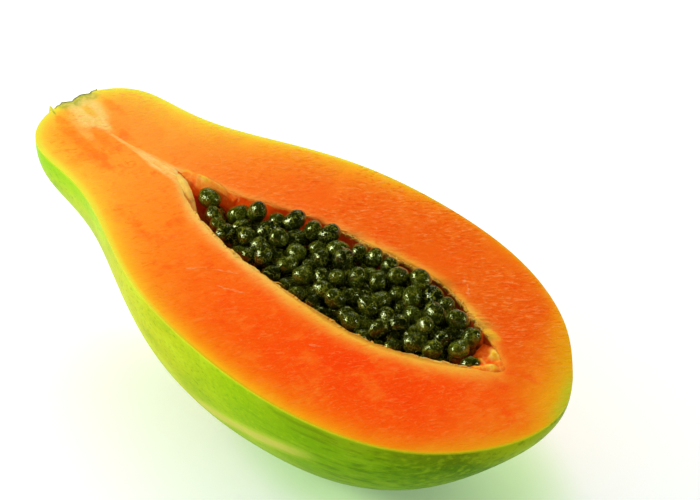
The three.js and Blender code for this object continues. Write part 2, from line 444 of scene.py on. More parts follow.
def soft_blobs(x, y, blobs, wander):
    """1 inside a few ovals on the cut face that melt together, each a middle and two reaches."""
    total = x * 0.0
    for middle_x, middle_y, reach_x, reach_y in blobs:
        across, along = (x - middle_x) / reach_x, (y - middle_y) / reach_y
        total = total + (across * across + along * along + wander).decay(1.0)
    return total.fade(0.06, 0.90)


def along_stroke(x, y, start, end, half_width, wander):
    """1 on a straight stroke on the cut face, fading to its sides and over its last millimetre."""
    (start_x, start_y), (end_x, end_y) = start, end
    length = math.hypot(end_x - start_x, end_y - start_y)
    run_x, run_y = (end_x - start_x) / length, (end_y - start_y) / length
    along = (x - start_x) * run_x + (y - start_y) * run_y
    beside = ((x - start_x) * -run_y + (y - start_y) * run_x + wander) / half_width
    return (beside * beside).fade(1.0, 0.1) * along.fade(0.0, 1.0) * along.fade(length, length - 1.0)


def bands_beside_skin(colour, place, x, y, from_skin, far_side):
    """Yellow flesh under the skin, its greenish edge, and the unripe corner at the blossom end."""
    edge = from_skin + (cloud(place, 5.0, detail=3.0) - 0.5) * 2.2 * from_skin.fade(0.2, 3.0)
    near_band = edge.decay(x.follow(NEAR_BAND_REACH)) * x.follow(NEAR_BAND_SHARE)
    far_band = edge.decay(x.follow(FAR_BAND_REACH)) * x.follow(FAR_BAND_SHARE)
    edge_colour = mixed(x.fade(60.0, 110.0), seen(234, 230, 66), seen(206, 178, 14))
    edge_line = (from_skin / x.follow(EDGE_REACH)).fade(1.0, 0.15)
    unripe = from_skin.fade(4.0, 0.4) * x.fade(169.0, 177.0) * y.fade(-2.0, 6.0)
    return layered(colour, [
        (mixed(far_side, near_band, far_band), along_fruit(x, BAND_TINTS, seen)),
        (edge_line * (0.72 - far_side * x.fade(95.0, 110.0) * 0.40), edge_colour),
        (from_skin.fade(9.0, 1.0) * x.fade(150.0, 172.0) * (0.22 + far_side * 0.20), edge_colour),
        (unripe * 0.8, seen(178, 194, 38)),
    ])


def glow_beside_cavity(colour, place, x, y, from_cavity, far_side, wander):
    """The pale lining that shows through the flesh along both rims, and the darker line inside it: the
    lining's own darker edge and painted shade where the rim turns down.
    """
    lining = from_cavity + (cloud(place, 2.6, detail=3.0, stretch=(1.8, 1, 1)) - 0.5) * 2.0
    near_lining = lining / x.follow(NEAR_GLOW_REACH)
    far_lining = lining / x.follow(FAR_GLOW_REACH)
    near_glow = (near_lining * near_lining).decay(1.0) * 0.92
    far_glow = (far_lining * far_lining).decay(1.0) * x.follow(FAR_GLOW_SHARE)
    glow_colour = mixed(x.fade(80.0, 112.0), seen(247, 204, 96), seen(244, 200, 66))
    near_line = (from_cavity / x.follow(NEAR_LINE_REACH)).fade(1.0, 0.4)
    far_line = (from_cavity / x.follow(FAR_LINE_REACH)).fade(1.0, 0.4)
    return layered(colour, [
        (mixed(far_side, near_glow, far_glow), glow_colour),
        # The darker line at each rim, partly the lining's own edge, partly painted shade.
        (mixed(far_side, near_line, far_line) * 0.62, seen(192, 120, 18)),
        (soft_blobs(x, y, FAR_RIDGE, wander * 2.0) * 0.75, seen(246, 186, 40)),
    ])


def marks_at_stem_end(colour, place, x, y, from_skin, wander):
    """The pale strand from the cavity to the stem, the pith it ends in, and the bruise at the scar."""
    fibres = cloud(place, 0.8, detail=2.0, stretch=(7, 1, 1), turn=STRAND_TURN)
    beside_line = y - x.follow([(where, side + LINE_LIFT) for where, side in LINE_MIDDLE]) + LINE_LIFT
    beside_line = beside_line.math("ABSOLUTE", beside_line, 0.0) + wander * 0.5
    pale_line = (beside_line / x.follow(LINE_HALF)).fade(1.4, 0.5) * x.fade(13.0, 17.0) * x.fade(48.0, 42.0)
    line_colour = mixed(fibres.fade(0.35, 0.65), seen(250, 184, 84), seen(252, 208, 120))
    yolk = soft_blobs(x, y, PITH_YOLK, wander * 2.0)
    pith_colour = mixed(wander.fade(-0.12, 0.14), seen(240, 208, 108), seen(250, 216, 124))
    beside_scar = y - SCAR_SIDE
    bruise = from_skin.fade(4.2, 1.2) * (beside_scar * beside_scar).fade(48.0, 20.0) * x.fade(6.0, 2.5)
    bruise_colour = mixed(wander.fade(-0.1, 0.1), seen(160, 168, 62), seen(214, 204, 100))
    return layered(colour, [
        (pale_line * x.follow(LINE_SHARE), line_colour),
        (soft_blobs(x, y, DEEP_PATCHES, wander * 3.4) * 0.42, seen(253, 114, 14)),
        (soft_blobs(x, y, PITH_GLOW, wander * 2.0) * 0.62, seen(252, 186, 84)),
        (soft_blobs(x, y, PITH, wander * 2.0) * 0.84, mixed(yolk * 0.75, pith_colour, seen(240, 188, 52))),
        (bruise * 0.8, bruise_colour),
    ])


def flesh_surface(graph):
    place, (x, y, _) = fruit_place(graph)
    from_skin = attribute(graph, "from_skin")
    from_cavity = attribute(graph, "from_cavity")
    far_side = y.fade(-5.0, 8.0)
    wander = cloud(place, 2.2, detail=3.0, roughness=0.6) - 0.5
    patches = cloud(place, 10.0, detail=4.0, roughness=0.6, stretch=(1.8, 1, 1), turn=PATCH_TURN)
    small_patches = cloud(place, 3.6, detail=3.0, roughness=0.65, stretch=(1, 1.7, 1), distortion=0.6)
    patchy = patches * 0.6 + small_patches * 0.4
    plain = mixed(far_side, along_fruit(x, FLESH_NEAR, seen), along_fruit(x, FLESH_FAR, seen))
    colour = layered(plain, [
        (patchy.fade(0.50, 0.64) * (0.50 - far_side * 0.26), seen(251, 62, 2)),
        (patchy.fade(0.50, 0.36) * 0.44, seen(254, 128, 30)),
    ])
    colour = bands_beside_skin(colour, place, x, y, from_skin, far_side)
    colour = glow_beside_cavity(colour, place, x, y, from_cavity, far_side, wander)
    colour = mixed(soft_blobs(x, y, RED_PATCHES, wander * 2.0) * 0.40, colour, seen(244, 66, 4))
    colour = marks_at_stem_end(colour, place, x, y, from_skin, wander)
    ripple = cloud(
        place, 0.8, detail=2.5, roughness=0.6, stretch=(2.8, 1, 1), turn=FIBRE_TURN, distortion=0.9
    )
    rippled = cloud(place, 16.0).fade(0.3, 0.55) * (0.2 + far_side * 0.8) * x.follow(RIPPLE_SHARE)
    combed = cloud(
        place, 1.1, detail=2.5, roughness=0.65, stretch=(1, 2.6, 1), turn=COMB_TURN, distortion=1.2
    )
    near_comb = (1 - far_side) * x.follow(COMB_SHARE) * from_skin.fade(1.0, 6.0)
    comb_shade = mixed(x.fade(60.0, 20.0), seen(250, 66, 0), seen(252, 104, 8))
    grain = cloud(place, 0.5, detail=2.0, roughness=0.7)
    scratched = x * 0.0
    for start, end in SCRATCHES:
        scratch = along_stroke(x, y, start, end, SCRATCH_HALF_WIDTH, wander * 2.2)
        scratched = scratched.math("MAXIMUM", scratched, scratch)
    # The pale crests and dark troughs of the ripples and combed marks are painted highlight and painted
    # shade of their relief, and the pale grain flecks are painted glints.
    colour = layered(colour, [
        (ripple.fade(0.52, 0.68) * rippled * 0.52, seen(255, 152, 72)),
        (ripple.fade(0.48, 0.34) * rippled * x.fade(30.0, 80.0) * 0.52, seen(234, 66, 0)),
        (combed.fade(0.54, 0.68) * near_comb, seen(254, 138, 58)),
        (combed.fade(0.46, 0.30) * near_comb, comb_shade),
        (grain.fade(0.56, 0.74) * 0.26, seen(255, 156, 72)),
        (scratched * ripple.fade(0.35, 0.6) * 0.42, seen(255, 170, 104)),
    ])
    height = ripple * rippled * 1.4 + combed * 0.8 + small_patches * 0.8 + scratched * 0.5 + grain * 0.25
    return {
        "Base Color": colour, "Roughness": 0.42, "Normal": relief(height, 0.55, 0.4 * MM),
        "Specular IOR Level": 0.008, "Subsurface Weight": 0.15, "Subsurface Radius": FLESH_SCATTER,
        "Subsurface Scale": 1.5 * MM, "Coat Weight": ripple.fade(0.56, 0.70) * rippled * 0.08,
        "Coat Roughness": 0.2,
    }


def wall_surface(graph):
    place, (x, _, z) = fruit_place(graph)
    ragged = attribute(graph, "from_cavity") + (cloud(place, 2.4, detail=3.0) - 0.5) * 3.0
    threads = cloud(place, 1.4, detail=3.0, stretch=(1, 1, 2.5))
    colour = layered(mixed(z.fade(-2.0, -9.0), seen(232, 84, 8), seen(200, 90, 20)), [
        (ragged.fade(1.3, 0.3) * 0.8, seen(240, 170, 62)),
        (threads.fade(0.6, 0.75) * 0.4, seen(248, 190, 96)),
    ])
    # Painted light: the wall glows red-orange near the stem end and just under the rim, as if lit through
    # the flesh.
    painted_glow = mixed(x.fade(116.0, 58.0) * z.fade(-9.0, -2.0), seen(20, 6, 1), seen(240, 56, 4))
    return {
        "Base Color": colour, "Roughness": 0.35, "Normal": relief(threads, 0.7, 0.5 * MM),
        "Specular IOR Level": 0.10, "Subsurface Weight": 0.25, "Subsurface Radius": FLESH_SCATTER,
        "Subsurface Scale": 2.0 * MM, "Emission Color": painted_glow, "Emission Strength": 0.30,
    }


# The greens darken towards the blossom end as painted shade, where the belly turns away from the light on
# the left.
SKIN_GREENS = [
    (0.05, (150, 184, 32)), (0.30, (180, 184, 28)), (0.45, (174, 182, 18)), (0.62, (142, 178, 4)),
    (0.74, (114, 158, 4)), (0.86, (106, 150, 5)), (0.95, (74, 112, 4)), (0.98, (140, 166, 8)),
]
STREAK_START = (86.0, -26.5)
STREAK_END = (143.0, -12.2)
STREAKS = [(3.6, 0.40, (196, 204, 66)), (2.0, 0.50, (200, 184, 90))]
STRIPE_TURN = math.radians(10)
SPECK_SPACING = 7.5


def skin_surface(graph):
    place, (x, y, z) = fruit_place(graph)
    from_skin = attribute(graph, "from_skin")
    broad = cloud(place, 11.0, detail=3.0, stretch=(1.7, 1, 1))
    near_side = (y + broad * 16.0).fade(36.0, 22.0)
    grain = cloud(place, 1.0, detail=4.0, roughness=0.7, stretch=(1.7, 1, 1))
    grainy = x.follow([(100, 1.0), (150, 0.35)])
    stripe = cloud(place, 1.5, detail=3.0, stretch=(18, 1, 1), turn=STRIPE_TURN)
    striped = x.fade(112.0, 150.0)
    # The darker greens along the fruit hold painted shade toward the blossom end.
    green = layered(along_fruit(x, SKIN_GREENS, paint), [
        (broad.fade(0.5, 0.65) * x.follow([(100, 0.24), (140, 0.08)]), paint(196, 222, 50)),
        (broad.fade(0.5, 0.36) * x.follow([(100, 0.26), (140, 0.10)]), paint(96, 150, 8)),
        (grain.fade(0.52, 0.70) * grainy * 0.40, paint(184, 206, 24)),
        (grain.fade(0.48, 0.30) * grainy * 0.50, paint(76, 126, 6)),
        (stripe.fade(0.52, 0.66) * striped * 0.55, paint(132, 166, 18)),
        (stripe.fade(0.48, 0.34) * striped * 0.50, paint(68, 104, 4)),
        (from_skin.fade(8.0, 0.5) * striped * 0.22, paint(146, 132, 8)),
    ])
    for half_width, share, tint in STREAKS:
        streak = along_stroke(x, z, STREAK_START, STREAK_END, half_width, (broad - 0.5) * 2.4)
        streak = streak * x.fade(90.0, 102.0) * x.fade(144.0, 128.0)
        green = mixed(streak * share, green, paint(*tint))
    neck_edge = from_skin.fade(7.0, 3.0) * x.fade(64.0, 34.0)
    green = mixed(neck_edge * 0.40, green, paint(120, 188, 14))
    speck = graph.node("ShaderNodeTexVoronoi", {"feature": "F1"}, {
        "Vector": place, "Scale": 1 / SPECK_SPACING
    })
    ripe = cloud(place, 26.0, detail=2.0)
    turning = mixed(ripe.fade(0.42, 0.6), paint(150, 170, 24), paint(240, 160, 30))
    specks = (speck - cloud(place, 18.0) * 0.30).fade(0.12, 0.02) * (1 - near_side)
    turning = mixed(specks * 0.85, turning, paint(52, 110, 20))
    colour = mixed(near_side, turning, green)
    colour = mixed(from_skin.fade(0.9, 0.1) * 0.6, colour, paint(204, 202, 30))
    return {
        "Base Color": colour, "Roughness": grain * 0.14 + 0.30,
        "Normal": relief(grain * 0.7 + broad, 0.3, 0.4 * MM), "Specular IOR Level": 0.01,
        "Subsurface Weight": 0.08, "Subsurface Radius": (0.7, 1.0, 0.05), "Subsurface Scale": 1.5 * MM,
    }


def in_scene(name, data):
    made = bpy.data.objects.new(name, data)
    bpy.context.scene.collection.objects.link(made)
    return made


def set_in_frame(mesh, name, materials):
    """Turns a mesh in the fruit's millimetres into an object in the frame, all faces outward."""
    bmesh.ops.recalc_face_normals(mesh, faces=mesh.faces)
    bmesh.ops.transform(mesh, matrix=FRUIT_TO_FRAME, verts=mesh.verts)
    for face in mesh.faces:
        face.smooth = True
    data = bpy.data.meshes.new(name)
    mesh.to_mesh(data)
    mesh.free()
    for material in materials:
        data.materials.append(material)
    return in_scene(name, data)


fruit = set_in_frame(fruit_mesh(), "papaya_half", [
    finished("papaya_skin", skin_surface),
    finished("papaya_flesh", flesh_surface),
    finished("papaya_cavity_wall", wall_surface),
])
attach(fruit, "root")
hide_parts("fruit_half")

# ---- The seeds -----------------------------------------------------------------------------------
# Egg-shaped seeds in wet see-through coats, heaped in the cavity. Each lies where it fell, on the wall
# or on the seeds below it. A seed is a small cage of quads that subdivision rounds and a relief wrinkles.
SEED_RADII = (2.4, 3.0)
SEED_ROOM = 1.14
SEED_SHAPE = (1.22, 0.96, 0.90)
SEED_CLOSENESS = 0.92
SEED_REACH = 0.6
SEED_TRIES = 400
HEAP_TOP = 0.7
HEAP_SLOPE = 0.16
HEAP_MIDDLE = 3.0
HEAP_ENDS = (53.5, 150.5)
HEAP_GAP = 0.35
FINE_LAYER = 6.5
SEED_DENT = 0.25
CAGE_SWELL = 1.17
SEED_DRAW = 33
CHANCE_STEP = (1664525, 1013904223, 4294967296)
NET_SPACING = 0.9
WRINKLE_SIZE = 1.4 * MM
WRINKLE_HEIGHT = 0.4 * MM


def cavity_share(x):
    part = min(max((x - CAVITY_START) / CAVITY_LENGTH, 0), 1)
    return math.acos(1 - 2 * part) / math.pi


def walls_at(x):
    share = cavity_share(x)
    return far_wall_at(share), near_wall_at(share), floor_at(share)


def resting_height(x, y, radius, placed):
    """The lowest height at which a seed at x, y clears the walls and the seeds placed before it."""
    room = radius * SEED_ROOM + HEAP_GAP
    tail, head = walls_at(x - room * SEED_REACH), walls_at(x + room * SEED_REACH)
    side = y - cavity_middle(x)
    wall = 0 if side > 0 else 1
    width = min(tail[wall], head[wall]) - room
    depth = min(tail[2], head[2]) - room
    if abs(side) >= width or depth <= 0:
        return math.inf
    height = -depth * math.sqrt(1 - (side / width) ** 2)
    for other_x, other_y, other_z, other_radius, _ in placed:
        rise = ((radius + other_radius) * SEED_CLOSENESS) ** 2 - (x - other_x) ** 2 - (y - other_y) ** 2
        if rise > 0:
            height = max(height, other_z + math.sqrt(rise))
    return height


def chances(drawn):
    """A rule that gives the same numbers from 0 to 1 every time."""
    times, plus, limit = CHANCE_STEP

    def chance():
        nonlocal drawn
        drawn = (drawn * times + plus) % limit
        return drawn / limit
    return chance


def buried_by(y, z):
    """How far below the sloping top of the heap a seed lies."""
    return HEAP_TOP + HEAP_SLOPE * (y - HEAP_MIDDLE) - z


def laid_out_seeds(chance):
    side_reach = max(CAVITY_NEAR_WALL + CAVITY_FAR_WALL) + CAVITY_TIP_SIDES[1]
    placed = []
    while True:
        radius = between(SEED_RADII, chance())
        most_buried, best = -math.inf, None
        for _ in range(SEED_TRIES):
            x = between(HEAP_ENDS, chance())
            y = side_reach * (2 * chance() - 1)
            z = resting_height(x, y, radius, placed)
            buried = buried_by(y, z)
            if buried > most_buried:
                most_buried, best = buried, (x, y, z, radius)
        turns = [math.pi * chance() for _ in range(3)]
        if most_buried < 0:
            return placed
        placed.append((*best, turns))


def rounded_cage(mesh, placed, dent):
    """A cube cut once each way, its 26 corners on a ball and dented at random, then placed."""
    first = len(mesh.verts)
    corners = bmesh.ops.create_cube(mesh, size=1)["verts"]
    edges = list({edge for corner in corners for edge in corner.link_edges})
    bmesh.ops.subdivide_edges(mesh, edges=edges, cuts=1, use_grid_fill=True)
    mesh.verts.ensure_lookup_table()
    cage = mesh.verts[first:]
    for vert in cage:
        ball = vert.co.normalized()
        vert.co = placed @ (ball * CAGE_SWELL * (1 + dent * noise.noise(placed @ ball)))
    return cage


def round_off(piece, fineness):
    rounded = piece.modifiers.new("rounded", "SUBSURF")
    rounded.levels = rounded.render_levels = fineness


def seed_pile(name, seeds, fineness, materials):
    """One object of many seeds, each a dented cage with a tone of its own."""
    mesh = bmesh.new()
    tone = mesh.verts.layers.float.new("seed_tone")
    low = mesh.verts.layers.float.new("seed_low")
    for x, y, z, radius, turns in seeds:
        sized = Matrix.Diagonal([radius * size for size in SEED_SHAPE]).to_4x4()
        placed = Matrix.Translation((x, y, z)) @ Euler(turns, "ZYX").to_matrix().to_4x4() @ sized
        for vert in rounded_cage(mesh, placed, SEED_DENT):
            vert[tone] = turns[0] / math.pi
            # How far below its middle each point of a seed lies, which places the painted shade and painted
            # light under each seed.
            vert[low] = (z - vert.co.z) / radius
    pile = set_in_frame(mesh, name, materials)
    round_off(pile, fineness)
    return pile


def seed_surface(graph):
    place, _ = fruit_place(graph)
    tone = attribute(graph, "seed_tone")
    low = attribute(graph, "seed_low")
    veil = cloud(place, 1.5, detail=3.0, roughness=0.55, distortion=0.5)
    net = graph.node("ShaderNodeTexVoronoi", {"feature": "DISTANCE_TO_EDGE"}, {
        "Vector": place, "Scale": 1 / NET_SPACING
    })
    colour = layered(mixed(tone, paint(12, 20, 2), paint(56, 64, 5)), [
        (veil.fade(0.52, 0.70) * 0.7, paint(88, 96, 14)),
        (veil.fade(0.46, 0.3) * 0.7, paint(5, 9, 1)),
        (net.fade(0.10, 0.0) * veil.fade(0.42, 0.62) * 0.6, paint(140, 142, 44)),
        # Painted shade: the underside of every seed is darkened.
        (low.fade(-0.1, 0.8) * 0.75, paint(5, 8, 1)),
        # Painted light: on the lightest-toned seeds the underside shows brown-yellow, as if lit through the
        # coat.
        (low * tone.fade(0.75, 0.95) * 0.7, paint(128, 88, 6)),
    ])
    wrinkle = cloud(place, 0.5, detail=2.0, roughness=0.6, distortion=1.0)
    return {
        "Base Color": colour, "Roughness": 0.08, "Normal": relief(wrinkle + veil, 0.45, 0.3 * MM),
        "IOR": 1.65, "Specular IOR Level": 1.0, "Specular Tint": paint(226, 244, 160),
        "Sheen Weight": 0.06, "Sheen Roughness": 0.30, "Sheen Tint": paint(190, 200, 60),
        "Coat Weight": 0.3, "Coat Roughness": 0.05,
    }


seeds = laid_out_seeds(chances(SEED_DRAW))
seed_finish = [finished("papaya_seed_coat", seed_surface)]
for name, below, fineness in (("seed_heap", False, 2), ("seed_heap_below", True, 1)):
    layer = [seed for seed in seeds if (buried_by(*seed[1:3]) >= FINE_LAYER) == below]
    heap = seed_pile(name, layer, fineness, seed_finish)
    wrinkles = bpy.data.textures.new(name + "_wrinkles", "CLOUDS")
    wrinkles.noise_scale = WRINKLE_SIZE
    wrinkled = heap.modifiers.new("wrinkled", "DISPLACE")
    wrinkled.texture = wrinkles
    wrinkled.texture_coords = "LOCAL"
    wrinkled.strength = WRINKLE_HEIGHT
    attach(heap, "root")
    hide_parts("seeds")

# ---- The stem scar -------------------------------------------------------------------------------
# Where the stalk broke off: a thin skin of brown cork lines the dish at the stem end, cut through with the
# fruit, so its scalloped section shows as a dark line. It grew on, and one corner stands up as a spike.
CORK_REACH = 7.3
CORK_THICKNESS = 0.3
CORK_PROUD = 0.04
CORK_SUNK = 0.18
CORK_ROUGHNESS = 0.35
CORK_LUMP_SIZE = 1.3
CORK_CALM_RIM = 0.3
SCAR_STEPS = (48, 20)
STRAND_SIDES = 6
SPIKE = [(1.2, -7.2, -1.8, 1.7), (-0.9, -6.5, -1.1, 1.3), (-2.4, -6.0, -0.7, 0.85), (-3.9, -5.3, -0.3, 0.2)]


def cork_point(turn, out):
    """A place on the scar: turn goes half round below the cut, out from the middle to the rim."""
    across, up = CORK_REACH * out * math.cos(math.pi * turn), -CORK_REACH * out * math.sin(math.pi * turn)
    spot = Vector((scar_floor(across, up) - CORK_SUNK, SCAR_SIDE + across, up))
    spot.x += CORK_ROUGHNESS * noise.noise(spot / CORK_LUMP_SIZE) * min((1 - out) / CORK_CALM_RIM, 1)
    return spot


def strand(mesh, stations):
    """A thread: a cap carried from station to station, each an x, y, z and a radius."""
    spots = [Vector(station[:3]) for station in stations]
    placed = []
    for k, station in enumerate(stations):
        along = spots[min(k + 1, len(spots) - 1)] - spots[max(k - 1, 0)]
        turned = along.to_track_quat("Z", "Y").to_matrix().to_4x4()
        placed.append(Matrix.Translation(spots[k]) @ turned @ Matrix.Scale(station[3], 4))
    corners = bmesh.ops.create_circle(
        mesh, cap_ends=True, segments=STRAND_SIDES, radius=1, matrix=placed[0]
    )["verts"]
    cap = corners[0].link_faces[0]
    every = list(corners)
    for before, after in zip(placed, placed[1:]):
        grown = bmesh.ops.extrude_face_region(mesh, geom=[cap])["geom"]
        cap = next(item for item in grown if isinstance(item, bmesh.types.BMFace))
        bmesh.ops.transform(mesh, matrix=after @ before.inverted(), verts=cap.verts)
        every += cap.verts
    return every


def cork_surface(graph):
    place, (_, y, _) = fruit_place(graph)
    flake = cloud(place, 0.9, detail=3.0, roughness=0.6)
    colour = mixed(flake.fade(0.35, 0.65), paint(104, 112, 44), paint(160, 156, 84))
    colour = mixed((y + flake).fade(-3.6, -5.2), colour, seen(214, 206, 60))
    return {
        "Base Color": colour, "Roughness": 0.75, "Normal": relief(flake, 0.8, 0.3 * MM),
        "Specular IOR Level": 0.2
    }


scar_mesh = bmesh.new()
bmesh.ops.create_grid(scar_mesh, x_segments=SCAR_STEPS[0], y_segments=SCAR_STEPS[1], size=0.5)
for vert in scar_mesh.verts:
    vert.co = cork_point(vert.co.x + 0.5, vert.co.y + 0.5)
bmesh.ops.remove_doubles(scar_mesh, verts=scar_mesh.verts, dist=POLE_MERGE)
bmesh.ops.recalc_face_normals(scar_mesh, faces=scar_mesh.faces)
scar_parts = scar_mesh.faces[:] + scar_mesh.edges[:] + scar_mesh.verts[:]
bmesh.ops.solidify(scar_mesh, geom=scar_parts, thickness=CORK_THICKNESS)
for vert in scar_mesh.verts:
    vert.co.z += CORK_PROUD
strand(scar_mesh, SPIKE)
scar = set_in_frame(scar_mesh, "stem_scar", [finished("papaya_scar_cork", cork_surface)])
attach(scar, "root")

# ---- The seed threads ----------------------------------------------------------------------------
# Soft pale tissue that held the seeds, left at both ends of the cavity: a fold of threads and a lumpy pad
# that run down into it from the stem end, and a lumpy pad at the blossom end. They grew out of the wall.
THREADS = [
    (0.95, (38.5, 0.2, -2.0, 0.8), (42.6, -0.2, -1.2, 1.5), (45.8, -1.2, -1.2, 1.8), (48.8, -2.6, -1.6, 1.9),
     (52.2, -4.2, -2.5, 1.7), (55.4, -5.7, -3.8, 1.2), (57.8, -6.9, -5.0, 0.5)),
    (0.7, (39.5, -1.3, -2.2, 0.5), (43.6, -1.9, -1.2, 0.9), (47.0, -3.1, -1.4, 0.9), (50.8, -4.7, -2.1, 0.8),
     (54.6, -6.3, -3.3, 0.6), (57.6, -7.6, -4.6, 0.3)),
]
PAD_STEPS = (34, 20)
PAD_SPILL = 0.9
PAD_THICKNESS = 0.5
PAD_RISE = 0.10
PAD_FEATHER = 0.60
PAD_EDGES = (5, 7, 6)
PAD_LUMPS = [(2.8, 0.7), (1.2, 0.3)]
STEM_PAD_ENDS = (42.6, 59.0)
STEM_PAD_REACH = 3.2
STEM_PAD_DROP = 3.2
STEM_PAD_END_DROP = 2.4
BLOSSOM_PAD_ENDS = (145.5, 160.8)
BLOSSOM_PAD_DROP = 3.6
BLOSSOM_PAD_START_DROP = 2.5
TISSUE_SWELL = 0.9
PALE_TISSUE = [
    (49.4, 3.6, 2.2, 1.2), (53.8, 5.4, 2.2, 1.2), (148.6, 8.4, 1.5, 1.1), (151.2, 10.6, 2.2, 1.0),
    (153.4, 9.0, 1.7, 1.5), (156.2, 5.0, 2.0, 1.1), (151.0, 5.8, 2.2, 0.6), (152.6, 3.0, 2.2, 0.6),
]
# Red painted shade in the pockets between the lumps, as ovals on the cut face: a middle and two reaches
# each.
RED_POCKET_SHADE = [(46.8, 1.0, 1.8, 0.8), (154.4, 6.6, 1.6, 1.0)]
THREAD_DENT = 0.18
THREAD_DENT_SIZE = 2.2
DENT_DRAW = 4
THREAD_TURN = math.radians(-30)


def thread_surface(graph):
    place, (x, y, z) = fruit_place(graph)
    pale = attribute(graph, "paleness")
    lining = attribute(graph, "lining")
    fibre = cloud(place, 1.0, detail=2.5, stretch=(3, 1, 1), turn=THREAD_TURN)
    patch = cloud(place, 2.4, detail=3.0, roughness=0.6)
    fleshy = mixed(x.fade(60.0, 140.0), seen(251, 140, 40), seen(244, 118, 24))
    pale_colour = mixed(fibre.fade(0.4, 0.6), seen(240, 184, 44), seen(246, 206, 84))
    brown = mixed(y.fade(-2.0, 8.0), seen(196, 130, 30), seen(216, 152, 46))
    colour = layered(mixed(pale, fleshy, seen(240, 200, 94)), [
        (patch.fade(0.50, 0.64) * 0.5, seen(252, 170, 60)),
        (soft_blobs(x, y, PALE_TISSUE, fibre - 0.5) * 0.9, pale_colour),
        # Painted shade: the tissue turns deeper red the lower it lies in the cavity, less so where it is
        # pale.
        (z.fade(-0.5, -2.0) * (1 - pale * 0.8) * 0.85, seen(242, 84, 8)),
        # Painted shade: red in the pockets between the lumps.
        (soft_blobs(x, y, RED_POCKET_SHADE, fibre - 0.5) * (1 - pale) * 0.6, seen(240, 70, 4)),
        (fibre.fade(0.5, 0.7) * 0.25, seen(252, 196, 90)),
        (fibre.fade(0.46, 0.3) * 0.3, seen(232, 112, 20)),
        (lining * x.fade(84.0, 118.0) * x.fade(146.0, 136.0) * 0.8, brown),
    ])
    # Painted light: the lower tissue glows red-orange, as if lit through the flesh.
    painted_glow = mixed(z.fade(-0.6, -2.4) * (1 - pale * 0.8), seen(10, 4, 1), seen(240, 74, 4))
    return {
        "Base Color": colour, "Roughness": 0.4, "Normal": relief(fibre, 0.4, 0.4 * MM),
        "Specular IOR Level": 0.03, "Subsurface Weight": 0.25, "Subsurface Radius": FLESH_SCATTER,
        "Subsurface Scale": 1.5 * MM, "Emission Color": painted_glow, "Emission Strength": 0.20,
    }


def stem_pad_point(along, across):
    """Soft tissue that slopes from the far rim down to the seeds beside the fold."""
    x = between(STEM_PAD_ENDS, along)
    rim = wall_point(cavity_share(x), 1, 0).y
    swell = max(math.sin(math.pi * (0.08 + 0.92 * along) ** 0.6), 0)
    spill, width = PAD_SPILL * swell, STEM_PAD_REACH * swell ** 1.2 + 0.1
    drop = STEM_PAD_DROP * across ** 1.6 + STEM_PAD_END_DROP * (1 - swell) ** 2
    return Vector((x, rim + spill - (width + spill) * across, -drop))


def blossom_pad_point(along, across):
    """Soft tissue that fills the narrow end of the cavity from rim to rim."""
    x = between(BLOSSOM_PAD_ENDS, along)
    share = cavity_share(x)
    far, near = wall_point(share, 1, 0).y + PAD_SPILL, wall_point(share, -1, 0).y - PAD_SPILL
    bowl = max(math.sin(math.pi * across), 0) ** 0.8
    drop = bowl * BLOSSOM_PAD_DROP * (1 - along) ** 1.5 + BLOSSOM_PAD_START_DROP * (1 - along) ** 4
    return Vector((x, far + (near - far) * across, -drop))


def tissue_pad(mesh, place):
    """A soft uneven pad: a grid bent into place, lumpy except where it spills over the rim."""
    first = len(mesh.verts)
    bmesh.ops.create_grid(mesh, x_segments=PAD_STEPS[0], y_segments=PAD_STEPS[1], size=0.5)
    mesh.verts.ensure_lookup_table()
    verts = mesh.verts[first:]
    for vert in verts:
        along, across = vert.co.x + 0.5, vert.co.y + 0.5
        vert.co = place(along, across)
        inside = min(across * PAD_EDGES[0], (1 - across) * PAD_EDGES[1], (1 - along) * PAD_EDGES[2], 1)
        for size, height in PAD_LUMPS:
            vert.co.z += height * inside * noise.noise(vert.co / size)
        for middle_x, middle_y, reach_x, reach_y in PALE_TISSUE:
            away = ((vert.co.x - middle_x) / reach_x) ** 2 + ((vert.co.y - middle_y) / reach_y) ** 2
            vert.co.z += TISSUE_SWELL * inside * math.exp(-away)
        vert.co.z += PAD_RISE - PAD_FEATHER * (1 - inside) ** 2
    faces = list({face for vert in verts for face in vert.link_faces})
    bmesh.ops.recalc_face_normals(mesh, faces=faces)
    edges = list({edge for face in faces for edge in face.edges})
    bmesh.ops.solidify(mesh, geom=faces + edges + verts, thickness=PAD_THICKNESS)


# Without a seed, vector noise starts from the clock.
noise.seed_set(DENT_DRAW)
thread_mesh = bmesh.new()
paleness = thread_mesh.verts.layers.float.new("paleness")
for pale, *stations in THREADS:
    for vert in strand(thread_mesh, stations):
        vert[paleness] = pale
        vert.co += noise.noise_vector(vert.co / THREAD_DENT_SIZE) * THREAD_DENT
tissue_pad(thread_mesh, stem_pad_point)
tissue_pad(thread_mesh, blossom_pad_point)
thread_finish = [finished("papaya_seed_thread", thread_surface)]
threads = set_in_frame(thread_mesh, "seed_threads", thread_finish)
round_off(threads, 2)
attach(threads, "root")

